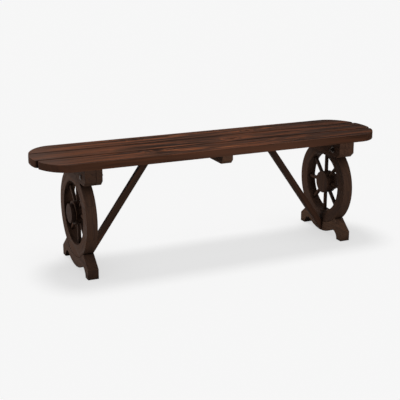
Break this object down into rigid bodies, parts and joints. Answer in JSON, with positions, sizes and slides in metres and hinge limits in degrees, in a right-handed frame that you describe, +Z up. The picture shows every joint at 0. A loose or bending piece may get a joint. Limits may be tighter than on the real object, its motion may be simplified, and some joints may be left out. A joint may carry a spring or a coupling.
{
  "type": "patio bench",
  "caption": "Slatted wooden patio bench with oval ends, carried by wagon-wheel legs on sawn feet, stiffened by slanting braces under the seat.",
  "frame": {"origin": "on the floor, under the middle of the seat", "axes": "+X along the seat to the sitter's view right as pictured, +Y across the seat to the back, +Z up"},
  "size_m": [1.393, 0.33, 0.43],
  "materials": {
    "seat_slats": "stained, oiled satin",
    "leg_timber": "stained, oiled satin",
    "under_timber": "stained, oiled satin",
    "spokes_and_hubs": "stained, oiled satin",
    "dowels": "plain beech, hidden",
    "blackened_steel": "blackened",
    "screw_steel": "zinc plated"
  },
  "bodies": {
    "root": {"back_slat": "seat_slats", "brace_screws": "screw_steel", "carriage_bolts": "blackened_steel", "felloe_dowels": "dowels", "front_slat": "seat_slats", "left_brace": "under_timber", "left_cleat": "under_timber", "left_felloe_1": "leg_timber", "left_felloe_2": "leg_timber", "left_felloe_3": "leg_timber", "left_felloe_4": "leg_timber", "left_felloe_5": "leg_timber", "left_felloe_6": "leg_timber", "left_felloe_7": "leg_timber", "left_felloe_8": "leg_timber", "left_foot": "leg_timber", "left_hub": "spokes_and_hubs", "left_hub_cap": "spokes_and_hubs", "left_spoke_1": "spokes_and_hubs", "left_spoke_2": "spokes_and_hubs", "left_spoke_3": "spokes_and_hubs", "left_spoke_4": "spokes_and_hubs", "left_spoke_5": "spokes_and_hubs", "left_spoke_6": "spokes_and_hubs", "left_spoke_7": "spokes_and_hubs", "left_spoke_8": "spokes_and_hubs", "left_top_rail": "leg_timber", "middle_batten": "under_timber", "middle_slat": "seat_slats", "nuts": "blackened_steel", "right_brace": "under_timber", "right_cleat": "under_timber", "right_felloe_1": "leg_timber", "right_felloe_2": "leg_timber", "right_felloe_3": "leg_timber", "right_felloe_4": "leg_timber", "right_felloe_5": "leg_timber", "right_felloe_6": "leg_timber", "right_felloe_7": "leg_timber", "right_felloe_8": "leg_timber", "right_foot": "leg_timber", "right_hub": "spokes_and_hubs", "right_hub_cap": "spokes_and_hubs", "right_spoke_1": "spokes_and_hubs", "right_spoke_2": "spokes_and_hubs", "right_spoke_3": "spokes_and_hubs", "right_spoke_4": "spokes_and_hubs", "right_spoke_5": "spokes_and_hubs", "right_spoke_6": "spokes_and_hubs", "right_spoke_7": "spokes_and_hubs", "right_spoke_8": "spokes_and_hubs", "right_top_rail": "leg_timber", "slat_screws": "screw_steel", "washers": "blackened_steel", "wheel_screws": "screw_steel"}
  },
  "joints": []
}
